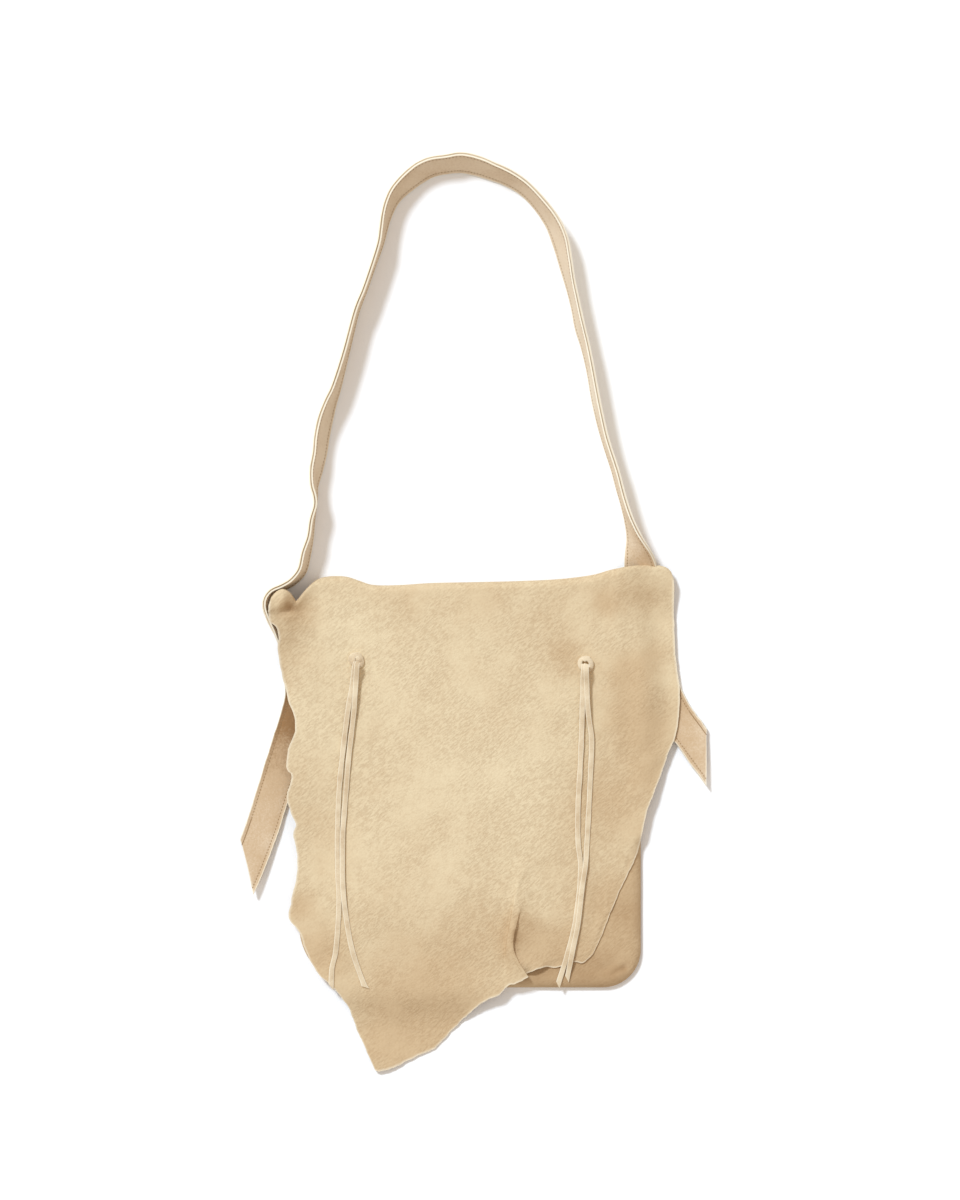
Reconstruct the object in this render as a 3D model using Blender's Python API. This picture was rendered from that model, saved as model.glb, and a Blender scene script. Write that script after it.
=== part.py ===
"""A deerskin shoulder bag lying on its back, with its flap closed and its strap laid out.

One hide makes the back, folds over the top and comes down in front as a flap with the skin's
own ragged edge. A second hide makes the front of the pouch. The strap is two layers sewn back
to back. Two lace ties hang from the flap.

Axes: +X to the right as seen from the front, +Y from the bottom to the strap, +Z out of the
front. The origin is at the middle of the back, on the plane it lies on.
"""

import math

import bmesh
import bpy
import numpy as np

MM = 0.001

# Pouch
POUCH_WIDTH = 342 * MM
POUCH_HEIGHT = 406 * MM
MOUTH_WIDTH = 314 * MM
MOUTH_TAPER = 80 * MM
MOUTH_DROP = 43 * MM
POUCH_BOTTOM = -POUCH_HEIGHT / 2
MOUTH_Y = POUCH_HEIGHT / 2 - MOUTH_DROP
CORNER_RADIUS = 38 * MM
TUCKED_CORNER = 62 * MM
ROLL_RADIUS = 11 * MM
ROLL_HEIGHT = 9 * MM
PUFF_HEIGHT = 7 * MM
PUFF_REACH = 60 * MM
HIDE = 1.6 * MM
GAP = 0.3 * MM
RIM_GAP = 0.8 * MM
REST_GAP = 1.2 * MM

# Flap and the fold over the top
FOLD_BAND = 31 * MM
HINGE_Y = POUCH_HEIGHT / 2 - FOLD_BAND
HINGE_RISE = 1.5 * MM
FLOOR_CLEARANCE = 0.6 * MM
SKIRT_START = 4 * MM
SKIRT_REACH = 32 * MM
LIP_RADIUS = 4 * MM
LIP_END = math.radians(50)
BACK_LEFT = -157
BACK_RIGHT = 150
LIP_COLUMNS_LEFT = (-201, -198, -192, -184, -178, -174, -169)
LIP_COLUMNS_RIGHT = (158, 171, 184, 194, 201, 205)

PINCH_HEIGHT = 7 * MM
PINCH_WIDTH = 11 * MM
PINCH_SLANT = 0.16
WAVE_HEIGHT = 1.2 * MM
WAVE_WIDTH = 18 * MM
WAVE_LENGTH = 110 * MM
TIP_HEIGHT = 3 * MM
TIP_REACH = 28 * MM

# Strap
STRAP_WIDTH = 33 * MM
STRAP_LAYER = 1.5 * MM
STRAP_LIFT = 0.35 * MM
STRAP_FINE = 2 * MM
STRAP_STEP = 30 * MM
STRAP_SWING = 22
TAIL_CUT = 46 * MM
TAIL_CUT_REACH = 70 * MM
COVER_REACH = 15 * MM
COVER_FADE = 30 * MM
BACK_FADE = 60 * MM

# Laces
LACE_WIDTH = 5.2 * MM
LACE_THICKNESS = 1.6 * MM
LACE_STEP = 12 * MM
KNOT_RING = 5.6 * MM
KNOT_CORD = 2.7 * MM
RIM_REACH = KNOT_RING + KNOT_CORD + LACE_STEP
LACE_GAP = 0.7 * MM
LACE_CLEAR = LACE_WIDTH + 2 * MM

# Grid cells
CELL = 26 * MM
FLAP_ROWS = 25
FLAP_COLUMNS = 22
LIP_STEPS = 3

SUEDE = (0.76, 0.60, 0.38, 1.0)
STRAP_SUEDE = (0.62, 0.46, 0.31, 1.0)
LACE_SUEDE = (0.72, 0.54, 0.35, 1.0)

# The outlines and routes below are drawn in millimetres for a pouch of this width and height,
# and follow the pouch's own size
DRAWN_WIDTH = 342
DRAWN_HEIGHT = 406
ACROSS = POUCH_WIDTH / DRAWN_WIDTH
UP = POUCH_HEIGHT / DRAWN_HEIGHT

# The top fold seen from above, left to right: the rolled ear, the notch beside it, the long
# fold and the right corner
FOLD_LINE = (
    (-201, 180), (-200, 185), (-196, 191), (-189, 196), (-183, 195), (-178, 191), (-174, 184),
    (-169, 190), (-162, 198), (-154, 205), (-146, 208), (-134, 209), (-122, 208), (-110, 204),
    (-96, 200), (-70, 200), (-38, 202), (10, 203), (50, 204), (90, 206), (122, 210), (140, 215),
    (160, 219), (178, 220), (192, 219), (200, 215), (204, 206), (205, 196),
)

# The flap's natural edge: down the left side to the tip, along the bottom, down the right side
FLAP_LEFT = (
    (-201, 172), (-193, 158), (-191, 140), (-189, 116), (-181, 82), (-174.5, 55), (-183, 30),
    (-183, 16), (-178, 9), (-183, -10), (-174, -40), (-177, -50), (-173, -66), (-173, -88),
    (-181, -133), (-171, -147), (-164, -167), (-143, -197), (-121, -224), (-105, -264),
    (-95, -286),
)
FLAP_BOTTOM = (
    (-95, -286), (-87, -287), (-58, -274), (-36, -264), (-2, -230), (15, -216), (29, -210),
    (40, -201), (55, -199), (62, -197), (64, -190), (76, -187), (86, -182), (104, -178),
    (114, -177), (123, -169),
)
FLAP_RIGHT = (
    (204, 172), (205, 145), (210, 95), (206, 50), (195, 21), (186, -3), (177, -27), (169, -59),
    (152, -101), (140, -129), (131, -151), (123, -169),
)

# The strap's middle line from the left tail round the arch to the right tail: x, y, the lean
# of its width in degrees (0 lies flat, 90 stands on edge) and how far it is lifted
STRAP_ROUTE = (
    (-232, -103, 0, 7), (-222, -80, 0, 5), (-208, -43, 0, 2), (-194, 2, 0, 0),
    (-180, 47, 0, 0), (-170, 80, 0, 0), (-169, 106, 3, 0), (-171, 127, 11, 0),
    (-176, 143, 22, 0), (-183, 157, 34, 0), (-192, 170, 48, 0), (-199, 182, 64, 0),
    (-197, 192, 78, 0), (-187, 198, 83, 0), (-177, 204, 82, 0), (-168, 215, 80, 0),
    (-164, 232, 80, 0), (-160, 248, 85, 0), (-158, 265, 87, 0), (-155, 280, 91, 0),
    (-155, 290, 88, 0), (-156, 300, 82, 0), (-154, 315, 73, 0), (-150.5, 332, 71, 0),
    (-148.5, 348, 69, 0), (-145, 365, 69, 0), (-140, 382, 74, 0), (-134, 398, 79, 0),
    (-124.5, 432, 84, 0), (-114, 473, 86, 0), (-106, 494, 87, 0), (-98, 517, 87, 0),
    (-90, 541, 85, 0), (-87, 555, 82, 0), (-84, 569, 78, 0), (-79, 583, 73, 0),
    (-71, 595, 67, 0), (-54, 610, 60, 0), (-39.5, 618, 61, 0), (-23, 621, 63, 0),
    (-8.5, 622.5, 60, 0), (7, 619.5, 62, 0), (21, 614.5, 65, 0), (38, 607.5, 68, 0),
    (55, 596.5, 71, 0), (71, 579.5, 71, 0), (83, 562, 68, 0), (90, 545, 67, 0),
    (94.5, 527, 71, 0), (99, 507, 77, 0), (105, 482, 80, 0), (110, 458, 79, 0),
    (115.5, 438, 81, 0), (120.5, 415, 83, 0), (126.5, 382, 82, 0), (134.5, 348, 84, 0),
    (145, 315, 84, 0), (149.5, 298, 84, 0), (154, 282, 84, 0), (159, 265, 81, 0),
    (164, 248, 70, 0), (167, 235, 50, 0), (170, 221, 25, 0), (172, 206, 8, 0),
    (175, 186, 0, 0), (178, 160, 0, 0), (184, 128, 0, 0), (193, 97, 0, 0),
    (205, 72, 0, 1), (222, 48, 0, 3), (238, 26, 0, 5), (250, 9, 0, 7),
)
# The stretches of the strap that pass under the hide, by their y
LEFT_UNDER_Y = 199 * UP
RIGHT_UNDER_Y = 222 * UP

# Where the flap's pinched fold starts and how far down it runs, and the middle of its wave
PINCH_TOP = (54, -60)
PINCH_LENGTH = 90
WAVE_PLACE = (165, 90)

LEFT_KNOT = (-113, 125)
RIGHT_KNOT = (116, 121)
LEFT_STRANDS = (
    ((-114, 121), (-117, 104), (-122, 74), (-127, 34), (-131, -8), (-132.5, -56), (-132, -91),
     (-131, -120), (-134, -164), (-138, -183), (-139, -205)),
    ((-112.5, 121), (-116, 74), (-121, 30), (-124, -8), (-127, -44), (-127.5, -67),
     (-127, -103), (-123, -138), (-117, -168), (-107, -197), (-103, -205)),
)
RIGHT_STRANDS = (
    ((113.5, 117), (112.5, 86), (111.5, 51), (110, 15), (108, -20), (108, -56), (110.5, -79),
     (109.5, -103), (105, -138), (97.5, -169), (87, -203)),
    ((115.5, 117), (118, 74), (121.5, 46), (120.5, 13), (119, -20), (117, -56), (115.5, -79),
     (112, -103), (108, -138), (102.5, -166), (96.5, -197)),
)


def smooth_curve(points, steps):
    """Read evenly spaced points from a smooth curve through the given ones."""
    points = np.array(points, dtype=float)
    ends = np.vstack([2 * points[0] - points[1], points, 2 * points[-1] - points[-2]])
    fine = []
    for a, b, c, d in zip(ends[:-3], ends[1:-2], ends[2:-1], ends[3:]):
        for t in np.arange(0, 1, 0.05):
            fine.append(0.5 * (2 * b + (c - a) * t + (2 * a - 5 * b + 4 * c - d) * t ** 2
                               + (3 * b - a - 3 * c + d) * t ** 3))
    fine.append(points[-1])
    fine = np.array(fine)
    lengths = np.linalg.norm(np.diff(fine[:, :2], axis=0), axis=1)
    along = np.concatenate([[0], np.cumsum(lengths)])
    if isinstance(steps, float):
        steps = max(2, round(along[-1] / steps))
    stations = np.linspace(0, along[-1], steps + 1)
    return np.stack([np.interp(stations, along, column) for column in fine.T], axis=1)


def drawn(points):
    """Turn the points of an outline or a route into metres."""
    return [(x * ACROSS, y * UP) for x, y in points]


def fade(value):
    """Fall smoothly from 1 at 0 to 0 at 1."""
    t = np.clip(value, 0, 1)
    return 1 - t * t * (3 - 2 * t)


def hill(away, reach):
    """A soft hill of height 1 that falls off over a distance."""
    return np.exp(-(away / reach) ** 2)


def side_place(y):
    """Half of the pouch's width at a height, drawn in towards the mouth."""
    drawn_in = 1 - fade((y - (MOUTH_Y - MOUTH_TAPER)) / MOUTH_TAPER)
    return (POUCH_WIDTH + (MOUTH_WIDTH - POUCH_WIDTH) * drawn_in) / 2


def bottom_corner(x):
    """The rounding of the bottom corner on that side; the left one is tucked in further."""
    return np.where(x < 0, TUCKED_CORNER, CORNER_RADIUS)


def across_pouch(share, y):
    """Places across the pouch at a height, from -1 at its left side to 1 at its right."""
    corner = bottom_corner(share)
    below = np.clip(POUCH_BOTTOM + corner - y, 0, corner)
    return share * (side_place(y) - corner + np.sqrt(corner ** 2 - below ** 2))


def inside(x, y):
    """Distance inside the pouch's outline, negative outside; it has no end at the mouth."""
    corner = bottom_corner(x)
    across = np.abs(x) - (side_place(y) - corner)
    down = POUCH_BOTTOM + corner - y
    outside = np.hypot(np.maximum(across, 0), np.maximum(down, 0))
    return corner - outside - np.minimum(np.maximum(across, down), 0)


class StrapPath:
    """The strap's middle line with the frame of its width at each station."""

    def __init__(self):
        route = [(x * ACROSS, y * UP, lean, lift * MM) for x, y, lean, lift in STRAP_ROUTE]
        line = smooth_curve(route, STRAP_FINE)
        lean = np.radians(line[:, 2])
        self.thickness = 2 * STRAP_LAYER + GAP
        tangent = np.gradient(line[:, :2], axis=0)
        tangent /= np.linalg.norm(tangent, axis=1)[:, None]
        left = np.stack([-tangent[:, 1], tangent[:, 0]], axis=1)
        self.across = np.column_stack([left * np.cos(lean)[:, None], np.sin(lean)])
        self.normal = np.column_stack([-left * np.sin(lean)[:, None], np.cos(lean)])
        height = (STRAP_WIDTH / 2 * np.sin(lean) + self.thickness / 2 * np.cos(lean)
                  + STRAP_LIFT + line[:, 3])
        self.centre = np.column_stack([line[:, :2], height])
        steps = np.linalg.norm(np.diff(self.centre, axis=0), axis=1)
        self.along = np.concatenate([[0], np.cumsum(steps)])
        swing = np.degrees(np.linalg.norm(np.diff(self.normal, axis=0), axis=1)
                           + np.linalg.norm(np.diff(self.across, axis=0), axis=1))
        effort = np.concatenate([[0], np.cumsum(steps / STRAP_STEP + swing / STRAP_SWING)])
        count = round(effort[-1])
        self.stations = np.interp(np.linspace(0, effort[-1], count + 1), effort, self.along)

    def at(self, station, side, depth):
        """A point of the strap at a length, a share of the half width and a depth."""
        def read(values):
            return np.array([np.interp(station, self.along, column) for column in values.T])
        across = read(self.across)
        normal = read(self.normal)
        across /= np.linalg.norm(across)
        normal /= np.linalg.norm(normal)
        return read(self.centre) + across * side * STRAP_WIDTH / 2 + normal * depth

    def top_points(self):
        """Points on the strap's upper face where it passes under the hide."""
        points = []
        for station in self.stations:
            for side in (-1, -0.5, 0, 0.5, 1):
                point = self.at(station, side, self.thickness / 2)
                limit = LEFT_UNDER_Y if point[0] < 0 else RIGHT_UNDER_Y
                if point[1] < limit:
                    points.append(point)
        return np.array(points)


STRAP = StrapPath()
STRAP_TOP = STRAP.top_points()
UNDER_POUCH = STRAP_TOP[np.abs(STRAP_TOP[:, 0]) < side_place(STRAP_TOP[:, 1]) + STRAP_WIDTH / 4]


def over_strap(points, x, y, spread):
    """Height of a hide that clears the strap under it and comes down again beside it."""
    cover = np.zeros(np.shape(x))
    for px, py, pz in points:
        away = np.hypot(x - px, y - py)
        cover = np.maximum(cover, (pz + GAP) * fade((away - COVER_REACH) / spread))
    return cover


def back_height(x, y):
    """Underside of the back: flat on the plane, raised over the flat strap."""
    return over_strap(UNDER_POUCH, x, y, BACK_FADE)


def pouch_height(x, y):
    """Outer face of the front panel: a rolled edge with a soft puff inside it."""
    depth = inside(x, y)
    roll = np.sqrt(1 - (1 - np.clip(depth / ROLL_RADIUS, 0, 1)) ** 2)
    puff = 1 - np.exp(-(np.maximum(depth - ROLL_RADIUS, 0) / PUFF_REACH) ** 2)
    return back_height(x, y) + HIDE + RIM_GAP + ROLL_HEIGHT * roll + PUFF_HEIGHT * puff


def flap_creases(x, y):
    """Folds that stand up from the flap: a pinched fold, a soft wave and a lifted tip."""
    along = (PINCH_TOP[1] * UP - y) / (PINCH_LENGTH * UP)
    off_line = x - PINCH_TOP[0] * ACROSS - PINCH_SLANT * (PINCH_TOP[1] * UP - y)
    pinch = PINCH_HEIGHT * hill(off_line, PINCH_WIDTH) * (1 - fade(along))
    wave_run = fade(np.abs(y - WAVE_PLACE[1] * UP) / WAVE_LENGTH)
    wave = WAVE_HEIGHT * hill(x - WAVE_PLACE[0] * ACROSS, WAVE_WIDTH) * wave_run
    tip_away = np.hypot(x - FLAP_LEFT[-1][0] * ACROSS, y - FLAP_LEFT[-1][1] * UP)
    return pinch + wave + TIP_HEIGHT * hill(tip_away, TIP_REACH)


def flap_height(x, y):
    """Upper face of the hide over the front: over the pouch and strap, down at its edges."""
    depth = inside(x, y)
    on_pouch = pouch_height(x, y) + REST_GAP
    edge = back_height(x, y) + HIDE + RIM_GAP + ROLL_HEIGHT + REST_GAP
    skirt = FLOOR_CLEARANCE + (edge - FLOOR_CLEARANCE) * fade((-depth - SKIRT_START) / SKIRT_REACH)
    under = np.where(depth > ROLL_RADIUS, on_pouch, skirt)
    cover = over_strap(STRAP_TOP, x, y, COVER_FADE) + GAP
    under = np.maximum(under, cover)
    return under + HIDE + flap_creases(x, y)


def edge_steps(length, cell):
    """Distances along a side: fine over the rolled edge, then even cells."""
    fine = [0, 0.12 * ROLL_RADIUS, 0.4 * ROLL_RADIUS, ROLL_RADIUS, 0.6 * CORNER_RADIUS]
    count = max(1, round((length - CORNER_RADIUS) / cell))
    return fine + list(np.linspace(CORNER_RADIUS, length, count + 1))


def pouch_grid():
    """The rows and columns that the front and the back share, from the bottom to the mouth."""
    rows = POUCH_BOTTOM + np.array(edge_steps(MOUTH_Y - POUCH_BOTTOM, CELL))
    inner = [0, 0.12 * ROLL_RADIUS, 0.4 * ROLL_RADIUS, ROLL_RADIUS]
    count = round((POUCH_WIDTH - 2 * ROLL_RADIUS) / CELL)
    middle = np.linspace(ROLL_RADIUS, POUCH_WIDTH - ROLL_RADIUS, count + 1)[1:-1]
    columns = np.array(inner + list(middle) + [POUCH_WIDTH - step for step in reversed(inner)])
    share = columns / POUCH_WIDTH * 2 - 1
    return rows, share


def sheet_object(name, grid, colour, keep=None):
    """A hide from a grid of points on its outer face, thickened inwards."""
    mesh = bmesh.new()
    rows, columns = grid.shape[:2]
    verts = {}

    def vert(row, column):
        if (row, column) not in verts:
            verts[row, column] = mesh.verts.new(grid[row, column])
        return verts[row, column]

    for row in range(rows - 1):
        for column in range(columns - 1):
            if keep is None or keep(row, column):
                mesh.faces.new([vert(row, column), vert(row + 1, column),
                                vert(row + 1, column + 1), vert(row, column + 1)])
    data = bpy.data.meshes.new(name)
    mesh.to_mesh(data)
    mesh.free()
    data.shade_smooth()
    piece = add_object(name, data, colour)
    solid = piece.modifiers.new("thickness", "SOLIDIFY")
    solid.thickness = HIDE
    solid.offset = -1
    return piece


def add_object(name, data, colour):
    """Link an object with its own leather material."""
    piece = bpy.data.objects.new(name, data)
    bpy.context.scene.collection.objects.link(piece)
    material = bpy.data.materials.new(name)
    material.use_nodes = True
    shader = material.node_tree.nodes["Principled BSDF"]
    shader.inputs["Base Color"].default_value = colour
    shader.inputs["Roughness"].default_value = 0.95
    shader.inputs["Metallic"].default_value = 0.0
    data.materials.append(material)
    return piece


def make_front_panel():
    """The front of the pouch, rolled over to meet the back at its sides and bottom."""
    rows, share = pouch_grid()
    grid = []
    for y in reversed(rows):
        x = across_pouch(share, y)
        grid.append(np.column_stack([x, np.full(len(x), y), pouch_height(x, y)]))
    return sheet_object("front_panel", np.array(grid), SUEDE)


def fold_columns():
    """Places across the top where the fold's shape is set, with the back's own limits."""
    share = pouch_grid()[1]
    inner = BACK_LEFT + (share + 1) / 2 * (BACK_RIGHT - BACK_LEFT)
    columns = np.concatenate([LIP_COLUMNS_LEFT, inner, LIP_COLUMNS_RIGHT]) * ACROSS
    first = len(LIP_COLUMNS_LEFT)
    return columns, first, first + len(inner) - 1


def make_back_panel():
    """The back with its fold over the top, down to the line where the flap bends."""
    rows, share = pouch_grid()
    columns, first, last = fold_columns()
    line = smooth_curve(drawn(FOLD_LINE), 400)
    top_y = np.interp(columns, line[:, 0], line[:, 1])
    body = np.arange(len(columns))
    full = (body >= first) & (body <= last)
    grid = []
    for y in rows:
        x = columns.copy()
        x[full] = across_pouch(share, y)
        grid.append(np.column_stack([x, np.full(len(x), y), back_height(x, y)]))
    low = back_height(columns, np.full(len(columns), HINGE_Y))
    high = flap_height(columns, top_y)
    radius = np.where(full, (high - low) / 2, LIP_RADIUS)
    radius = np.minimum(radius, top_y - HINGE_Y - 2 * GAP)
    centre_y = top_y - radius
    high = flap_height(columns, centre_y)
    low = back_height(columns, centre_y)
    drop = np.where(full, (high - low) / 2, LIP_RADIUS)
    start_row = len(grid)
    for step in range(2 * LIP_STEPS + 1):
        share_up = step / (2 * LIP_STEPS)
        lip_share = max(0, step - LIP_STEPS) / LIP_STEPS
        turn = np.where(full, math.pi * (share_up - 0.5),
                        LIP_END + (math.pi / 2 - LIP_END) * lip_share)
        grid.append(np.column_stack([columns, centre_y + radius * np.cos(turn),
                                     high - drop + drop * np.sin(turn)]))
    front_y = HINGE_Y + GAP / 2
    for part in (0.5, 1.0):
        y = centre_y + (front_y - centre_y) * part
        grid.append(np.column_stack([columns, y, flap_height(columns, y)]))

    def keep(row, column):
        return row >= start_row + LIP_STEPS or first <= column < last

    return sheet_object("back_panel", np.array(grid), SUEDE, keep)


def flap_grid():
    """Rows of points between the flap's four sides, blended from its edges."""
    left = smooth_curve(drawn(FLAP_LEFT), FLAP_ROWS)
    right = smooth_curve(drawn(FLAP_RIGHT), FLAP_ROWS)
    bottom = smooth_curve(drawn(FLAP_BOTTOM), FLAP_COLUMNS)
    top = np.linspace(left[0], right[0], FLAP_COLUMNS + 1)
    grid = np.zeros((FLAP_ROWS + 1, FLAP_COLUMNS + 1, 2))
    for row in range(FLAP_ROWS + 1):
        v = row / FLAP_ROWS
        for column in range(FLAP_COLUMNS + 1):
            u = column / FLAP_COLUMNS
            sides = (1 - u) * left[row] + u * right[row]
            ends = (1 - v) * top[column] + v * bottom[column]
            corners = ((1 - u) * ((1 - v) * left[0] + v * left[-1])
                       + u * ((1 - v) * right[0] + v * right[-1]))
            grid[row, column] = sides + ends - corners
    return grid


def hinge_height():
    """Height of the bending axis: over the strap on edge, the hide on it and a little air."""
    return STRAP_LIFT + STRAP_WIDTH + 2 * GAP + HIDE + HINGE_RISE


def make_flap(hinge):
    """The flap below its bending line, on the hinge."""
    plan = flap_grid()
    plan[0, :, 1] -= GAP / 2
    x, y = plan[..., 0], plan[..., 1]
    grid = np.dstack([x, y, flap_height(x, y)])
    flap = sheet_object("flap", grid, SUEDE)
    hang_on(flap, hinge)


def hang_on(piece, hinge):
    """Parent a piece to the hinge without moving it."""
    piece.parent = hinge
    piece.matrix_parent_inverse = hinge.matrix_world.inverted()


def make_strap_layer(name, depth):
    """One layer of the strap, cut on the slant at both ends with the tip on the inner side."""
    length = STRAP.along[-1]
    mesh = bmesh.new()
    rings = []
    for station in STRAP.stations:
        ring = []
        near = max(0, 1 - station / TAIL_CUT_REACH)
        far = max(0, 1 - (length - station) / TAIL_CUT_REACH)
        for side, level in ((-1, -1), (1, -1), (1, 1), (-1, 1)):
            place = station + TAIL_CUT * (1 + side) / 2 * (near - far)
            point = STRAP.at(place, side, depth + level * STRAP_LAYER / 2)
            ring.append(mesh.verts.new(point))
        rings.append(ring)
    for one, two in zip(rings[:-1], rings[1:]):
        mesh.faces.new([one[0], one[1], two[1]])
        mesh.faces.new([one[0], two[1], two[0]])
        mesh.faces.new([one[3], two[2], one[2]])
        mesh.faces.new([one[3], two[3], two[2]])
        mesh.faces.new([one[1], one[2], two[2], two[1]])
        mesh.faces.new([one[3], one[0], two[0], two[3]])
    mesh.faces.new(rings[0])
    mesh.faces.new(reversed(rings[-1]))
    bmesh.ops.recalc_face_normals(mesh, faces=mesh.faces)
    data = bpy.data.meshes.new(name)
    mesh.to_mesh(data)
    mesh.free()
    return add_object(name, data, STRAP_SUEDE)


def lace_curve(name, points, hinge):
    """A flat lace as a curve with rounded edges and closed ends."""
    data = bpy.data.curves.new(name, "CURVE")
    data.dimensions = "3D"
    data.twist_mode = "Z_UP"
    data.fill_mode = "FULL"
    data.extrude = (LACE_WIDTH - LACE_THICKNESS) / 2
    data.bevel_depth = LACE_THICKNESS / 2
    data.bevel_resolution = 2
    data.use_fill_caps = True
    spline = data.splines.new("POLY")
    spline.points.add(len(points) - 1)
    for target, point in zip(spline.points, points):
        target.co = (*point, 1)
        target.tilt = math.pi / 2
    lace = add_object(name, data, LACE_SUEDE)
    hang_on(lace, hinge)
    return lace


def make_tie(side, knot, strands, hinge):
    """A knotted ring on the flap with two strands that leave it over its lower rim."""
    x, y = knot[0] * ACROSS, knot[1] * UP
    seat = flap_height(x, y) + LACE_GAP
    bpy.ops.mesh.primitive_torus_add(location=(x, y, seat + KNOT_CORD), major_radius=KNOT_RING,
                                     minor_radius=KNOT_CORD, major_segments=18,
                                     minor_segments=8)
    ring = bpy.context.object
    mesh = ring.data
    bpy.data.objects.remove(ring)
    knot_piece = add_object(f"lace_{side}_knot", mesh, LACE_SUEDE)
    knot_piece.location = (x, y, seat + KNOT_CORD)
    bpy.context.view_layer.update()
    hang_on(knot_piece, hinge)
    beside_line = smooth_curve(drawn(strands[0]), LACE_STEP)[::-1]
    for name, route in zip(("a", "b"), strands):
        line = smooth_curve(drawn(route), LACE_STEP)
        over_rim = fade((np.hypot(line[:, 0] - x, line[:, 1] - y) - RIM_REACH) / LACE_STEP)
        height = flap_height(line[:, 0], line[:, 1]) + LACE_GAP + LACE_THICKNESS / 2
        height += (2 * KNOT_CORD + GAP) * over_rim
        if name == "b":
            other = np.interp(line[:, 1], beside_line[:, 1], beside_line[:, 0])
            beside = np.abs(line[:, 0] - other)
            height += (LACE_THICKNESS + LACE_GAP) * fade((beside - LACE_CLEAR) / LACE_WIDTH)
        lace_curve(f"lace_{side}_strand_{name}", np.column_stack([line, height]), hinge)


def main():
    for old in list(bpy.data.objects):
        bpy.data.objects.remove(old)
    hinge = bpy.data.objects.new("flap_hinge", None)
    bpy.context.scene.collection.objects.link(hinge)
    hinge.location = (0, HINGE_Y, hinge_height())
    bpy.context.view_layer.update()
    make_back_panel()
    make_front_panel()
    make_flap(hinge)
    offset = (STRAP_LAYER + GAP) / 2
    make_strap_layer("strap_inner_layer", offset)
    make_strap_layer("strap_outer_layer", -offset)
    make_tie("left", LEFT_KNOT, LEFT_STRANDS, hinge)
    make_tie("right", RIGHT_KNOT, RIGHT_STRANDS, hinge)


main()
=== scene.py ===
"""The dressed deerskin shoulder bag: hides, strap, lace ties, thread, floor, light and camera."""

import math

import bmesh
import bpy
import numpy as np
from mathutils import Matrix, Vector
from mathutils.bvhtree import BVHTree


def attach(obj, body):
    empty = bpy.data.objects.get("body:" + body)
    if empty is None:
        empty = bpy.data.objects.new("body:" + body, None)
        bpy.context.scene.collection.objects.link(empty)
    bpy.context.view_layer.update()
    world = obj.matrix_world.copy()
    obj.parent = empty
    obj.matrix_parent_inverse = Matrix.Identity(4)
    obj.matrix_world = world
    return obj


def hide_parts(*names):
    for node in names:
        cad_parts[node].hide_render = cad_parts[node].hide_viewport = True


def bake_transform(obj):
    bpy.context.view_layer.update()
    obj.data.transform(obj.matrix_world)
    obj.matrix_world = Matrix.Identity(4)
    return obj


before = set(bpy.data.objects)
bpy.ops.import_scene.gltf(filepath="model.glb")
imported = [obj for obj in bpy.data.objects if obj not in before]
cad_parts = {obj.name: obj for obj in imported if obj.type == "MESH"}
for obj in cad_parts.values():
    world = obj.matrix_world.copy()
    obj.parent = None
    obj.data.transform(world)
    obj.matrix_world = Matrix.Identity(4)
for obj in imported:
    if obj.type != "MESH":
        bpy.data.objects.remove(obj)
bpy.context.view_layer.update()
bpy.ops.object.select_all(action="DESELECT")

MM = 0.001
UP = Vector((0, 0, 1))
WHITE = (1.0, 1.0, 1.0, 1.0)

# Pouch and hide
POUCH_WIDTH = 342 * MM
MOUTH_WIDTH = 314 * MM
MOUTH_TAPER = 80 * MM
POUCH_BOTTOM = -203 * MM
MOUTH_Y = 160 * MM
CORNER_RADIUS = 38 * MM
TUCKED_CORNER = 62 * MM
ROLL_RADIUS = 11 * MM
ROLL_HEIGHT = 9 * MM
HIDE = 1.6 * MM
BACK_LEFT = -157 * MM
BACK_RIGHT = 150 * MM
HINGE_Y = 172 * MM
CUT_REACH = 0.6 * MM
CLEAR = 0.3 * MM
FOLD_RADIUS = 8 * MM
FOLD_SHARE = 0.6
LIP_RADIUS = 4.5 * MM
LIP_END = math.radians(-35)

# Surround, warmer than the sun, with the sun, floor and camera
SKY_STRENGTH = 0.66
SKY_TINT = (1.0, 0.92, 0.845, 1.0)

SUN_ENERGY = 2.42
SUN_COLOUR = (0.77, 0.88, 1.0)
SUN_ANGLE = 10
SUN_TRAVEL = (0.38, -0.52, -0.76)
FLOOR_SIZE = 8
FLOOR_DEPTH = 0.4 * MM
FLOOR_GREY = 0.86
CAMERA_DISTANCE = 8.0
CAMERA_AIM = (10 * MM, 185 * MM, 15 * MM)
PICTURE_HEIGHT = 1.2
SENSOR = 36

# Grid steps of the hides
FLAP_ROWS = 176
COLUMNS = 150
FOLD_SAMPLES = 600
PLEAT_SAMPLES = 60
FOLD_STEPS = 14
FOLD_SPLIT = 4
BAND_STEPS = 10
BACK_STEP = 9 * MM
BACK_RIM = (0, 0.3, 1.2, 3, 6)
FRONT_STEP = 2.4 * MM
FRONT_RIM = (0, 0.5, 1.5, 3, 5, 8)
SMOOTHING = 14
FRONT_SMOOTHING = 4

# How unevenly the hides lie: height and size of each ripple and the seed of its draws
LIE = ((0.45 * MM, 70 * MM, 3), (0.16 * MM, 24 * MM, 5), (0.07 * MM, 9 * MM, 8))
SOFT_BEND = 50
EDGE_WAVE = 14 * MM
EDGE_NICK = 6 * MM
RAGGED = {"left": 0.45 * MM, "right": 0.3 * MM, "bottom": 0.45 * MM}

# The front hide's rim: its puckers, and the uneven lie inside it
PUCKER_HEIGHT = 0.35 * MM
PUCKER_PITCH = 5.5 * MM
PUCKER_PLACE = 7 * MM
PUCKER_REACH = 6 * MM
FRONT_LIE = 0.3 * MM

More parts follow.
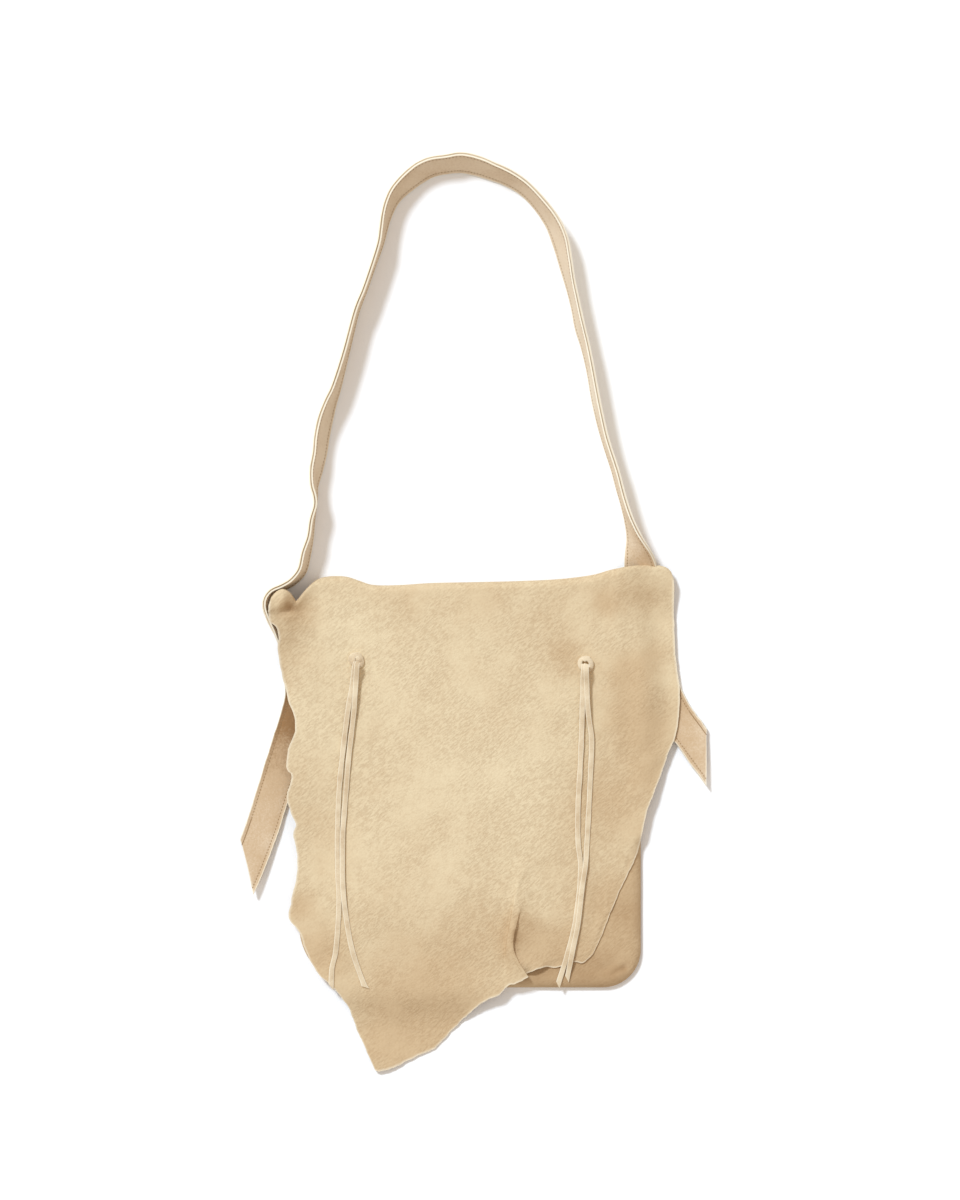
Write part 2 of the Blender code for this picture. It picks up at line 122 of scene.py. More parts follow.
# Strap
STRAP_WIDTH = 33 * MM
STRAP_LAYER = 1.5 * MM
STRAP_GAP = 0.3 * MM
STRAP_LIFT = 0.35 * MM
STRAP_STEP = 3 * MM
TAIL_CUT = 46 * MM
TAIL_CUT_REACH = 70 * MM
EDGE_SPLAY = 0.55 * MM
STITCH_PITCH = 3.3 * MM
STITCH_LENGTH = 1.7 * MM
STITCH_RADIUS = 0.45 * MM
STITCH_INSET = 3.4 * MM
STITCH_DEPTH = 0.35 * MM
STITCH_SPREAD = 1.1 * MM
STITCH_SINK = 0.3 * MM
STITCH_RINGS = 5
STITCH_SIDES = 6
STRAP_SAMPLE = 1.5 * MM

# The strap's wavy edges: height and length of each wave
STRAP_WAVES = ((0.35 * MM, 30 * MM), (0.15 * MM, 9 * MM))

# Painted shade and light on the strap: how far from its left or right end, reach and amount,
# below 0 is lighter. The darker places where the tails run under the flap are painted shade, the
# paler place on the arch's right side is painted light; both tails are darker too, up to
# TAIL_SHADE_END
LEFT_PAINTED_SHADE = ((200 * MM, 140 * MM, 0.95),)
RIGHT_PAINTED_SHADE_AND_LIGHT = ((90 * MM, 90 * MM, 0.2), (430 * MM, 200 * MM, -0.45))
TUCKED_PAINTED_SHADE = (210 * MM, 90 * MM, 0.4)
TAIL_SHADE = 0.42
TAIL_SHADE_START = 180 * MM
TAIL_SHADE_END = 260 * MM
# The outer layer is made paler over the arch as painted light, from ARCH_START on
ARCH_START = 230 * MM
ARCH_GROWTH = 60 * MM
ARCH_PAINTED_LIGHT = 0.75

# Laces
LACE_WIDTH = 5.2 * MM
LACE_THICKNESS = 1.5 * MM
LACE_STEP = 2.5 * MM
LACE_REST = 0.25 * MM
LACE_FALL = 0.16
LACE_STAND = 3.4 * MM
LACE_STAND_REACH = 75 * MM
KNOT_RING = {"left": 5.7 * MM, "right": 6.0 * MM}
KNOT_LUMPS = {"left": 0.13, "right": 0.04}
KNOT_CLOSE = {"left": 0.75, "right": 0.26}
KNOT_TURN = {"left": 760, "right": 430}
KNOT_CORD = 2.5 * MM
KNOT_RISE = 1.6 * MM
KNOT_SWAY = 0.3 * MM
KNOT_FIRST = 60
KNOT_SAMPLES = 90
LACE_CUT = 6 * MM
LACE_CUT_RINGS = 5
LACE_SIDES = 16
LACE_TILT = 0.16
LACE_OVER = 0.3 * MM
LACE_OVER_START = 4.6 * MM
LACE_OVER_REACH = 3 * MM

# The rise of the strands over the knot's ring: height, distance from the middle and reach
HUMP_HEIGHT = 5.6 * MM
HUMP_PLACE = 6.5 * MM
HUMP_REACH = 7 * MM

# The top fold seen from above, left to right: the rolled ear, the notch beside it, the long
# fold and the right corner
FOLD_LINE = (
    (-201, 180), (-200, 185), (-196, 191), (-189, 196), (-183, 195), (-178, 191), (-174, 184),
    (-169, 190), (-162, 198), (-154, 205), (-146, 208), (-134, 209), (-122, 208), (-110, 204),
    (-96, 200), (-70, 200), (-38, 202), (10, 203), (50, 204), (90, 206), (122, 210), (140, 215),
    (160, 219), (178, 220), (192, 219), (200, 215), (204, 206), (205, 196),
)

# The flap's natural edge: down the left side to the tip, along the bottom, down the right side
FLAP_LEFT = (
    (-201, 172), (-200, 163), (-194, 158), (-191, 149), (-192, 134), (-189, 116), (-186, 101),
    (-183, 91), (-181, 82), (-176.5, 71), (-174.5, 55), (-179, 44), (-183, 30), (-183, 16),
    (-178, 9), (-183, -10), (-180, -26), (-174, -39), (-177, -50), (-173.5, -63), (-173, -88),
    (-178.5, -114), (-181, -133), (-171, -147), (-164, -167), (-153, -187), (-143, -197),
    (-133, -207), (-121, -224), (-115, -240), (-105, -264), (-95, -286),
)
FLAP_BOTTOM = (
    (-95, -286), (-89, -287), (-73.5, -282), (-58, -274), (-36, -264), (-18, -246), (-2, -230),
    (15.5, -216), (29, -210.5), (40, -201), (49, -199), (60, -194), (71, -188.5), (83, -182),
    (90, -183), (104, -177), (113, -178), (123, -169),
)
FLAP_RIGHT = (
    (204, 172), (205, 145), (207, 117), (210, 95), (209, 72), (206, 50), (199, 33), (195, 21),
    (186, -3), (177, -27), (170, -59), (167, -69), (161, -83), (152, -101.5), (140, -129),
    (131.5, -151), (123, -169),
)

# The pleat in the flap's lower edge: the fold of the part on top, and the part under it
PLEAT_TOP = (
    (60, -60), (56, -85), (54, -104), (51, -120), (47, -137), (44, -150), (43.5, -163), (48, -175),
    (56, -188), (64, -200),
)
PLEAT_UNDER = (
    (60, -60), (56, -85), (54, -104), (50, -120), (44, -137), (39, -150), (38, -162), (40, -172),
    (46, -182), (52, -190),
)

PLEAT_BEND = -50 * MM
PLEAT_START = -112 * MM
PLEAT_DEEP = -162 * MM
PLEAT_REACH = 42 * MM
PLEAT_LIFT = 3.2 * MM

# The strap's middle line from the left tail round the arch to the right tail: x, y, the lean
# of its width in degrees (0 lies flat, 90 stands on edge) and how far it is lifted
STRAP_ROUTE = (
    (-232, -103, 0, 7), (-222, -80, 0, 5), (-208, -43, 0, 2), (-194, 2, 0, 0),
    (-180, 47, 0, 0), (-170, 80, 0, 0), (-169, 106, 3, 0), (-171, 127, 11, 0),
    (-176, 143, 22, 0), (-183, 157, 34, 0), (-192, 170, 48, 0), (-199, 182, 64, 0),
    (-197, 192, 78, 0), (-187, 198, 83, 0), (-177, 204, 82, 0), (-168, 215, 80, 0),
    (-164, 232, 80, 0), (-160, 248, 85, 0), (-158, 265, 87, 0), (-155, 280, 91, 0),
    (-155, 290, 88, 0), (-156, 300, 82, 0), (-154, 315, 73, 0), (-150.5, 332, 71, 0),
    (-148.5, 348, 69, 0), (-145, 365, 69, 0), (-140, 382, 74, 0), (-134, 398, 79, 0),
    (-124.5, 432, 84, 0), (-114, 473, 86, 0), (-106, 494, 87, 0), (-98, 517, 87, 0),
    (-90, 541, 85, 0), (-87, 555, 82, 0), (-84, 569, 78, 0), (-79, 583, 73, 0),
    (-71, 595, 67, 0), (-54, 610, 60, 0), (-39.5, 618, 61, 0), (-23, 621, 63, 0),
    (-8.5, 622.5, 60, 0), (7, 619.5, 62, 0), (21, 614.5, 65, 0), (38, 607.5, 68, 0),
    (55, 596.5, 71, 0), (71, 579.5, 71, 0), (83, 562, 68, 0), (90, 545, 67, 0),
    (94.5, 527, 71, 0), (99, 507, 77, 0), (105, 482, 80, 0), (110, 458, 79, 0),
    (115.5, 438, 81, 0), (120.5, 415, 83, 0), (126.5, 382, 82, 0), (134.5, 348, 84, 0),
    (145, 315, 84, 0), (149.5, 298, 84, 0), (154, 282, 84, 0), (159, 265, 81, 0),
    (164, 248, 70, 0), (167, 235, 50, 0), (170, 221, 25, 0), (172, 206, 8, 0),
    (175, 186, 0, 0), (178, 160, 0, 0), (184, 128, 0, 0), (193, 97, 0, 0),
    (205, 72, 0, 1), (222, 48, 0, 3), (238, 26, 0, 5), (250, 9, 0, 7),
)

KNOTS = {"left": (-113, 125), "right": (116, 121)}
STRANDS = {
    "left": (
        ((-114, 123), (-115, 119), (-117, 104), (-122, 74), (-127, 34), (-131, -8),
         (-132.5, -56), (-132, -91), (-131, -120), (-134, -164), (-138, -183), (-139, -205)),
        ((-112, 123), (-113, 118), (-116, 74), (-121, 30), (-124, -8), (-127, -44),
         (-127.5, -67), (-127, -103), (-123, -138), (-117, -168), (-107, -197), (-103, -205)),
    ),
    "right": (
        ((114, 121), (113.5, 115), (112.5, 86), (111.5, 51), (110, 15), (108, -20), (108, -56),
         (110.5, -79), (109.5, -103), (105, -138), (97.5, -169), (87, -203)),
        ((116.5, 121), (116, 115), (118, 74), (121.5, 46), (120.5, 13), (119, -20), (117, -56),
         (115.5, -79), (112, -103), (108, -138), (102.5, -166), (96.5, -197)),
    ),
}

# Creases of the hide: the points of a line, its depth and width in mm; a ridge has depth below 0
CREASES = (
    (((-171, 187), (-176, 179), (-185, 173), (-198, 171)), 3.4, 4),
    (((-169, 181), (-176, 172), (-186, 165)), -1.6, 6),
    (((-190, 187), (-186, 185), (-182, 184)), -3.0, 9),
    (((-166, 178), (-150, 160), (-140, 138)), 0.8, 9),
    (((158, 200), (162, 150), (158, 90), (160, 30), (150, -10)), 1.3, 9),
    (((136, 200), (132, 170), (140, 148)), 0.9, 9),
    (((196, 192), (176, 184), (150, 186)), 0.9, 9),
    (((186, 150), (184, 90), (172, 30)), -0.9, 10),
    (((54, -106), (53, -118), (51, -130), (49, -142)), 2.0, 6),
    (((60, -122), (57, -140), (55, -158), (58, -172)), -1.8, 5),
    (((60, -118), (72, -135), (90, -150), (97, -168)), 0.7, 4),
    (((70, -110), (84, -128), (99, -146)), -0.6, 4),
    (((66, -150), (76, -165), (80, -180)), 0.7, 4),
    (((128, -100), (126, -130), (118, -152)), 0.7, 5),
    (((-84, -218), (-60, -226), (-42, -244)), 0.5, 3),
    (((-75, -256), (-80, -270), (-85, -281)), 0.6, 2.5),
    (((-135, -120), (-142, -140), (-140, -160)), 0.7, 4),
    (((-160, -120), (-150, -145), (-146, -170)), -0.8, 6),
    (((-187, 145), (-186, 120), (-180, 90)), 0.6, 4),
    (((-136, 125), (-130, 117), (-128, 108)), 0.5, 2.5),
    (((-131, 128), (-124, 121), (-121, 113)), 0.5, 2),
    (((-104, 122), (-98, 114), (-97, 106)), 0.4, 2.5),
    (((30, 96), (60, 84), (92, 90)), 0.35, 7),
    (((0, 60), (40, 40), (80, 52)), -0.4, 12),
    (((-60, -60), (0, -84), (60, -70)), 0.4, 14),
    (((-20, -150), (10, -168), (36, -160)), -0.6, 10),
)

# Stained places of the hide, with painted shade and painted light: x, y, reach in mm and amount,
# below 0 is lighter. The darker places in the pleat's valley, at the crease under the rolled ear
# and down the right side, where the flap curves away from the light, are painted shade, and the
# lighter places at the upper left are painted light
PATCHES = (
    (135, 182, 14, 0.4), (172, 188, 18, 0.35), (160, 110, 20, 0.5), (168, 60, 32, 0.6), (182, 10, 24, 0.3),
    (140, -20, 40, 0.35), (130, -120, 26, 0.35), (50, -150, 20, 0.7), (90, -165, 24, 0.4),
    (-60, -240, 50, 0.45), (-95, -275, 30, 0.2), (-150, -170, 28, 0.5),
    (-170, -120, 14, 0.4), (-30, -190, 60, 0.35), (-170, 170, 22, 0.35), (-180, 178, 8, 0.9),
    (46, -148, 4, 0.35), (46, -156, 4, 0.4), (47, -165, 4, 0.4), (52, -175, 4, 0.35),
    (95, 130, 20, 0.35), (-20, 80, 90, -0.15), (-120, 150, 40, -0.3), (40, -60, 60, -0.1),
    (-140, 60, 40, -0.25), (60, 10, 70, -0.15), (0, 190, 60, 0.12), (170, -120, 30, 0.6),
    (120, -190, 40, 0.5), (185, 130, 16, 0.3),
)
BACK_SHADE = 0.2
FRONT_SHADE = 0.55
# Darker places of the front hide; the two small ones in its pressed pit are painted shade
FRONT_PATCHES = (
    (150, -60, 40, 0.3), (160, -130, 24, 0.35), (120, -190, 40, 0.4), (60, -180, 24, 0.4),
    (-60, -60, 60, 0.15), (154, -185, 4, 0.2), (145, -188, 8, 0.2),
)


# The front hide's pressed corner: a pit, and creases with their depth and width in mm
PIT = (155 * MM, -184 * MM)
PIT_DEPTH = 1.9 * MM
PIT_REACH = 3.6 * MM
FRONT_CREASES = (
    (((138, -193), (147, -187), (155, -182), (160, -174)), 1.5, 2.2),
    (((120, -186), (135, -183), (150, -172)), 0.9, 4),
)


def smooth_curve(points, steps):
    """Read evenly spaced points from a smooth curve through the given ones."""
    points = np.array(points, dtype=float)
    ends = np.vstack([2 * points[0] - points[1], points, 2 * points[-1] - points[-2]])
    fine = []
    for a, b, c, d in zip(ends[:-3], ends[1:-2], ends[2:-1], ends[3:]):
        for t in np.arange(0, 1, 0.05):
            fine.append(0.5 * (2 * b + (c - a) * t + (2 * a - 5 * b + 4 * c - d) * t ** 2
                               + (3 * b - a - 3 * c + d) * t ** 3))
    fine.append(points[-1])
    fine = np.array(fine)
    lengths = np.linalg.norm(np.diff(fine[:, :2], axis=0), axis=1)
    along = np.concatenate([[0], np.cumsum(lengths)])
    if isinstance(steps, float):
        steps = max(2, round(along[-1] / steps))
    stations = np.linspace(0, along[-1], steps + 1)
    return np.stack([np.interp(stations, along, column) for column in fine.T], axis=1)


def in_metres(points):
    """Turn points in millimetres into metres."""
    return [tuple(value * MM for value in point) for point in points]


def fade(value):
    """Fall smoothly from 1 at 0 to 0 at 1."""
    t = np.clip(value, 0, 1)
    return 1 - t * t * (3 - 2 * t)


def ripple(x, y, size, seed):
    """Smooth uneven values from -1 to 1 that change over a size in metres."""
    dice = np.random.default_rng(seed)
    total = np.zeros(np.shape(x))
    for _ in range(7):
        turn, phase = dice.uniform(0, 2 * math.pi, 2)
        pitch = size * dice.uniform(0.7, 1.6)
        total += np.sin((x * math.cos(turn) + y * math.sin(turn)) * 2 * math.pi / pitch + phase)
    return total / 4


def side_place(y):
    """Half of the pouch's width at a height, drawn in towards the mouth."""
    drawn_in = 1 - fade((y - (MOUTH_Y - MOUTH_TAPER)) / MOUTH_TAPER)
    return (POUCH_WIDTH + (MOUTH_WIDTH - POUCH_WIDTH) * drawn_in) / 2


def bottom_corner(x):
    """The rounding of the bottom corner on that side; the left one is tucked in further."""
    return np.where(x < 0, TUCKED_CORNER, CORNER_RADIUS)


def across_pouch(share, y):
    """Places across the pouch at a height, from -1 at its left side to 1 at its right."""
    corner = bottom_corner(share)
    below = np.clip(POUCH_BOTTOM + corner - y, 0, corner)
    return share * (side_place(y) - corner + np.sqrt(corner ** 2 - below ** 2))


def inside(x, y):
    """Distance inside the pouch's outline, negative outside; it has no end at the mouth."""
    corner = bottom_corner(x)
    across = np.abs(x) - (side_place(y) - corner)
    down = POUCH_BOTTOM + corner - y
    outside = np.hypot(np.maximum(across, 0), np.maximum(down, 0))
    return corner - outside - np.minimum(np.maximum(across, down), 0)


class Surface:
    """The upper face of some meshes, read from above."""

    def __init__(self, *pieces):
        points = []
        faces = []
        for piece in pieces:
            start = len(points)
            points += [vert.co.copy() for vert in piece.data.vertices]
            faces += [[start + i for i in face.vertices] for face in piece.data.polygons]
        self.tree = BVHTree.FromPolygons(points, faces)
        self.top = max(point.z for point in points)

    def one(self, x, y):
        """The height at one place, or that of the nearest edge beside the meshes."""
        hit = self.tree.ray_cast(Vector((x, y, self.top + 0.01)), -UP)[0]
        if hit is None:
            hit = self.tree.find_nearest(Vector((x, y, self.top / 2)))[0]
        return hit.z

    def below(self, x, y):
        """The heights at arrays of places, and a deep one beside the meshes."""
        def hit(x, y):
            found = self.tree.ray_cast(Vector((x, y, self.top + 0.01)), -UP)[0]
            return found.z if found else -1.0
        return np.vectorize(hit)(x, y)

    def height(self, x, y):
        """The heights at arrays of places."""
        return np.vectorize(self.one)(x, y)


class StrapPath:
    """The strap's middle line with the frame of its width at each station."""

    def __init__(self):
        route = [(x * MM, y * MM, lean, lift * MM) for x, y, lean, lift in STRAP_ROUTE]
        line = smooth_curve(route, STRAP_SAMPLE)
        lean = np.radians(line[:, 2])
        self.thickness = 2 * STRAP_LAYER + STRAP_GAP
        tangent = np.gradient(line[:, :2], axis=0)
        tangent /= np.linalg.norm(tangent, axis=1)[:, None]
        left = np.stack([-tangent[:, 1], tangent[:, 0]], axis=1)
        self.across = np.column_stack([left * np.cos(lean)[:, None], np.sin(lean)])
        self.normal = np.column_stack([-left * np.sin(lean)[:, None], np.cos(lean)])
        height = (STRAP_WIDTH / 2 * np.sin(lean) + self.thickness / 2 * np.cos(lean)
                  + STRAP_LIFT + line[:, 3])
        self.centre = np.column_stack([line[:, :2], height])
        steps = np.linalg.norm(np.diff(self.centre, axis=0), axis=1)
        self.along = np.concatenate([[0], np.cumsum(steps)])
        self.length = self.along[-1]

    def read(self, values, station):
        """Values of the path at arrays of stations."""
        return np.stack([np.interp(station, self.along, column) for column in values.T], axis=-1)

    def at(self, station, side, depth):
        """Points of the strap at a length, a share of the half width and a depth."""
        across = self.read(self.across, station)
        normal = self.read(self.normal, station)
        across /= np.linalg.norm(across, axis=-1, keepdims=True)
        normal /= np.linalg.norm(normal, axis=-1, keepdims=True)
        centre = self.read(self.centre, station)
        half = STRAP_WIDTH / 2
        return centre + across * (side * half)[..., None] + normal * depth[..., None]

    def place(self, station, side):
        """Stations moved along the slanting cuts of the two tails."""
        near = np.maximum(0, 1 - station / TAIL_CUT_REACH)
        far = np.maximum(0, 1 - (self.length - station) / TAIL_CUT_REACH)
        return station + TAIL_CUT * (1 + side) / 2 * (near - far)


class Signal:
    """A node's output that takes part in arithmetic, where each step adds a Math node."""

    def __init__(self, finish, socket):
        self.finish = finish
        self.socket = socket

    def step(self, operation, one, two):
        return self.finish.node("ShaderNodeMath", {"operation": operation}, {0: one, 1: two})

    def __add__(self, other):
        return self.step("ADD", self, other)

    def __mul__(self, other):
        return self.step("MULTIPLY", self, other)

    def __sub__(self, other):
        return self.step("SUBTRACT", self, other)

    def __rsub__(self, other):
        return self.step("SUBTRACT", other, self)


class Finish:
    """A procedural material and the nodes that it is made of."""

    def __init__(self, name, roughness):
        self.material = bpy.data.materials.new(name)
        self.material.use_nodes = True
        self.tree = self.material.node_tree
        self.shader = self.tree.nodes["Principled BSDF"]
        self.shader.inputs["Roughness"].default_value = roughness
        self.shader.inputs["Specular IOR Level"].default_value = 0.25
        self.place = self.node("ShaderNodeTexCoord", output="Object")

    def node(self, kind, settings=None, inputs=None, output=0):
        """Make a node, set it up, and give its output."""
        made = self.tree.nodes.new(kind)
        for name, value in (settings or {}).items():
            setattr(made, name, value)
        for name, value in (inputs or {}).items():
            if isinstance(value, Signal):
                self.tree.links.new(value.socket, made.inputs[name])
            else:
                made.inputs[name].default_value = value
        return Signal(self, made.outputs[output])

    def painted(self, name):
        """A mask that is stored on the piece."""
        return self.node("ShaderNodeAttribute", {"attribute_name": name}, output="Fac")

    def noise(self, place, scale, detail=2.0, roughness=0.5):
        """Soft uneven values round one half."""
        return self.node("ShaderNodeTexNoise", None, {
            "Vector": place, "Scale": scale, "Detail": detail, "Roughness": roughness})

    def cells(self, place, scale):
        """Pebbles: low at their middles, high at their borders."""
        return self.node("ShaderNodeTexVoronoi", {"feature": "SMOOTH_F1"}, {
            "Vector": place, "Scale": scale, "Smoothness": 0.6})

    def turned(self, place, angle, stretch):
        """The place turned about Z, for a pattern with other sizes along and across its run."""
        return self.node("ShaderNodeMapping", {"vector_type": "TEXTURE"}, {
            "Vector": place, "Rotation": (0, 0, angle), "Scale": stretch})

    def limit(self, value, low, high):
        """The value spread so that low gives 0 and high gives 1."""
        return self.node("ShaderNodeMapRange", {"interpolation_type": "SMOOTHSTEP"}, {
            "Value": value, "From Min": low, "From Max": high})

    def mix(self, share, one, two):
        """One colour turned into another by a share."""
        return self.node("ShaderNodeMix", {"data_type": "RGBA"}, {0: share, 6: one, 7: two},
                         output=2)

    def colour(self, value):
        self.tree.links.new(value.socket, self.shader.inputs["Base Color"])

    def roughness(self, value):
        self.tree.links.new(value.socket, self.shader.inputs["Roughness"])

    def bump(self, value, strength, distance):
        """Raise the surface by a value."""
        raised = self.node("ShaderNodeBump", None, {
            "Height": value, "Strength": strength, "Distance": distance})
        self.tree.links.new(raised.socket, self.shader.inputs["Normal"])


def rgb(red, green, blue):
    """A colour as it is seen on a screen, turned into the light it stands for."""
    seen = np.array((red, green, blue)) / 255
    light = np.where(seen <= 0.04045, seen / 12.92, ((seen + 0.055) / 1.055) ** 2.4)
    return (*light, 1.0)


CREAM = rgb(246, 236, 214)
PALE_HIDE = rgb(229, 210, 174)
TAN_HIDE = rgb(208, 181, 143)
BROWN_HIDE = rgb(165, 129, 90)
# Painted light: the strap's faces that the light falls full on
PAINTED_LIT_STRAP = rgb(246, 235, 213)
LIGHT_SUEDE = rgb(232, 212, 184)
TAN_SUEDE = rgb(204, 175, 139)
BROWN_SUEDE = rgb(156, 119, 80)
NEEDLE_HOLE = rgb(112, 80, 50)
PALE_LACE = rgb(230, 212, 181)
TAN_LACE = rgb(199, 173, 138)
PALE_THREAD = rgb(190, 158, 116)
DARK_THREAD = rgb(138, 106, 72)


def hide_finish():
    """Soft deerskin: pebbled grain, slanting nap, stained places, painted shade and light, pale raw edges.
    """
    finish = Finish("deerskin", 0.92)
    place = finish.place
    cloud = finish.noise(place, 14, 3, 0.55)
    mottle = finish.noise(place, 110, 5, 0.68)
    speck = finish.noise(place, 820, 3, 0.7)
    pebble = finish.cells(place, 470)
    slant = finish.turned(place, math.radians(40), (5.4 * MM, 1.75 * MM, 5.4 * MM))
    hair = finish.noise(slant, 1.0, 3, 0.62)
    patch = finish.noise(place, 22, 2, 0.5)
    nap = finish.limit(patch, 0.3, 0.6) * 0.8 + 0.2
    # The hide's painted mask: stained places, painted shade and painted light
    shade = finish.painted("shade")
    tone = shade * 0.95 + (cloud - 0.5) * 0.55 + (mottle - 0.5) * 0.34 + 0.3
    colour = finish.mix(finish.limit(tone, 0.0, 0.75), PALE_HIDE, TAN_HIDE)
    colour = finish.mix(finish.limit(tone, 0.75, 1.7), colour, BROWN_HIDE)
    ridge = finish.limit(hair, 0.36, 0.66) * nap
    grain = pebble * 0.45 + ridge * 0.55 + speck * 0.4
    colour = finish.mix(finish.limit(grain, 0.3, 1.1) * 0.31, colour, BROWN_HIDE)
    colour = finish.mix(finish.painted("edge") * 0.6, colour, CREAM)
    finish.colour(colour)
    finish.roughness(0.98 - finish.limit(mottle, 0.3, 0.7) * 0.1)
    finish.bump(0.9 - grain + mottle * 0.3, 0.5, 0.8 * MM)
    return finish.material


def strap_finish():
    """Suede side of the strap: darker tails, painted shade and light, needle holes, pale raw edges."""
    finish = Finish("strap_suede", 0.95)
    place = finish.place
    cloud = finish.noise(place, 30, 4, 0.6)
    nap = finish.noise(place, 460, 5, 0.8)
    fluff = finish.noise(place, 1700, 2, 0.6)
    tone = finish.painted("shade") + cloud - 0.5 + (nap - 0.5) * 1.5 + 0.27
    # The palest colour is painted light, on faces that the light falls full on
    colour = finish.mix(finish.limit(tone, -0.7, 0.1), PAINTED_LIT_STRAP, LIGHT_SUEDE)
    colour = finish.mix(finish.limit(tone, 0.0, 1.0), colour, TAN_SUEDE)
    colour = finish.mix(finish.limit(tone, 0.9, 1.9), colour, BROWN_SUEDE)
    colour = finish.mix(finish.painted("holes") * 0.75, colour, NEEDLE_HOLE)
    colour = finish.mix(finish.painted("edge"), colour, CREAM)
    finish.colour(colour)
    finish.bump(nap * 0.7 + fluff * 0.3 - finish.painted("holes") * 0.5, 0.5, 0.6 * MM)
    return finish.material


def lace_finish():
    """Narrow cut lace: tan middle and pale cut edges."""
    finish = Finish("lace_hide", 0.93)
    place = finish.place
    cloud = finish.noise(place, 60, 3, 0.6)
    nap = finish.noise(place, 900, 4, 0.7)
    tone = (cloud - 0.5) * 1.2 + (nap - 0.5) * 0.7 + 0.45
    colour = finish.mix(finish.limit(tone, 0.1, 0.9), PALE_LACE, TAN_LACE)
    colour = finish.mix(finish.painted("edge") * 0.6, colour, CREAM)
    finish.colour(colour)
    finish.bump(nap, 0.4, 0.4 * MM)
    return finish.material


def thread_finish():
    """Waxed sewing thread with a twist."""
    finish = Finish("thread", 0.7)
    twist = finish.noise(finish.place, 3000, 2, 0.5)
    finish.colour(finish.mix(twist, PALE_THREAD, DARK_THREAD))
    finish.bump(twist, 0.3, 0.1 * MM)
    return finish.material


def paint(piece, name, values):
    """Store a mask on the piece's points."""
    layer = piece.data.attributes.new(name, "FLOAT", "POINT")
    layer.data.foreach_set("value", np.asarray(values, dtype=np.float32))


def add_piece(name, data, material):
    """Link a piece at the origin with its material."""
    piece = bpy.data.objects.new(name, data)
    bpy.context.scene.collection.objects.link(piece)
    data.materials.append(material)
    return piece


def keep_only(piece):
    """Select one piece and make it active."""
    bpy.ops.object.select_all(action="DESELECT")
    piece.select_set(True)
    bpy.context.view_layer.objects.active = piece


def thicken(piece, thickness):
    """Give a sheet its thickness on the inner side."""
    keep_only(piece)
    wall = piece.modifiers.new("thickness", "SOLIDIFY")
    wall.thickness = thickness
    wall.offset = -1
    bpy.ops.object.modifier_apply(modifier=wall.name)
    bpy.ops.object.shade_smooth_by_angle(angle=math.radians(SOFT_BEND))


def flat_area(grid, keep=None):
    """The area of a sheet's grid of points."""
    one = grid[1:, 1:] - grid[:-1, :-1]
    two = grid[1:, :-1] - grid[:-1, 1:]
    cells = np.linalg.norm(np.cross(one, two), axis=-1) / 2
    return float(cells.sum() if keep is None else cells[keep].sum())


def sheet_piece(name, grid, masks, material, thickness, keep=None):
    """A sheet from a grid of points on its outer face, with its masks, thickened inwards."""
    rows, columns = grid.shape[:2]
    cells = np.ones((rows - 1, columns - 1), bool) if keep is None else keep
    used = np.zeros((rows, columns), bool)
    for down in (0, 1):
        for right in (0, 1):
            used[down:rows - 1 + down, right:columns - 1 + right] |= cells
    number = np.cumsum(used).reshape(used.shape) - 1
    row, column = np.nonzero(cells)
    faces = np.stack([number[row, column], number[row + 1, column],
                      number[row + 1, column + 1], number[row, column + 1]], axis=1)
    data = bpy.data.meshes.new(name)
    data.from_pydata(grid[used].tolist(), [], faces.tolist())
    piece = add_piece(name, data, material)
    for mask, values in masks.items():
        paint(piece, mask, values[used])
    thicken(piece, thickness)
    return piece


def along_line(x, y, points):
    """Distance from a line of points, and how far along it from 0 to 1."""
    line = smooth_curve(in_metres(points), 12)
    best = np.full(np.shape(x), 1e9)
    share = np.zeros(np.shape(x))
    for step, (one, two) in enumerate(zip(line[:-1], line[1:])):
        way = two - one
        t = np.clip(((x - one[0]) * way[0] + (y - one[1]) * way[1]) / (way @ way), 0, 1)
        away = np.hypot(x - one[0] - t * way[0], y - one[1] - t * way[1])
        closer = away < best
        best = np.where(closer, away, best)
        share = np.where(closer, (step + t) / (len(line) - 1), share)
    return best, share


def relief(x, y):
    """The hide's creases and its soft uneven lie."""
    height = sum(rise * ripple(x, y, size, seed) for rise, size, seed in LIE)
    for points, depth, width in CREASES:
        away, share = along_line(x, y, points)
        ends = np.sin(math.pi * np.clip(share, 0.02, 0.98)) ** 0.6
        height -= depth * MM * np.exp(-(away / (width * MM)) ** 2) * ends
    return height


def stains_and_painted_light(x, y, patches):
    """How brown the hide is at a place, from stained places and painted shade and light."""
    total = np.zeros(np.shape(x))
    for px, py, reach, amount in patches:
        away = np.hypot(x - px * MM, y - py * MM) / (reach * MM)
        total += amount * np.exp(-away ** 2)
    return total


def ragged(line, seed, depth):
    """Roughen a cut line across its run, with its ends kept."""
    way = np.gradient(line, axis=0)
    way /= np.linalg.norm(way, axis=1)[:, None]
    out = np.stack([-way[:, 1], way[:, 0]], axis=1)
    run = np.arange(len(line)) / (len(line) - 1)
    ends = np.minimum(1, np.minimum(run, 1 - run) * 30)
    step = (ripple(line[:, 0], line[:, 1], EDGE_WAVE, seed)
            + 0.5 * ripple(line[:, 0], line[:, 1], EDGE_NICK, seed + 1))
    return line + out * (step * depth * ends)[:, None]


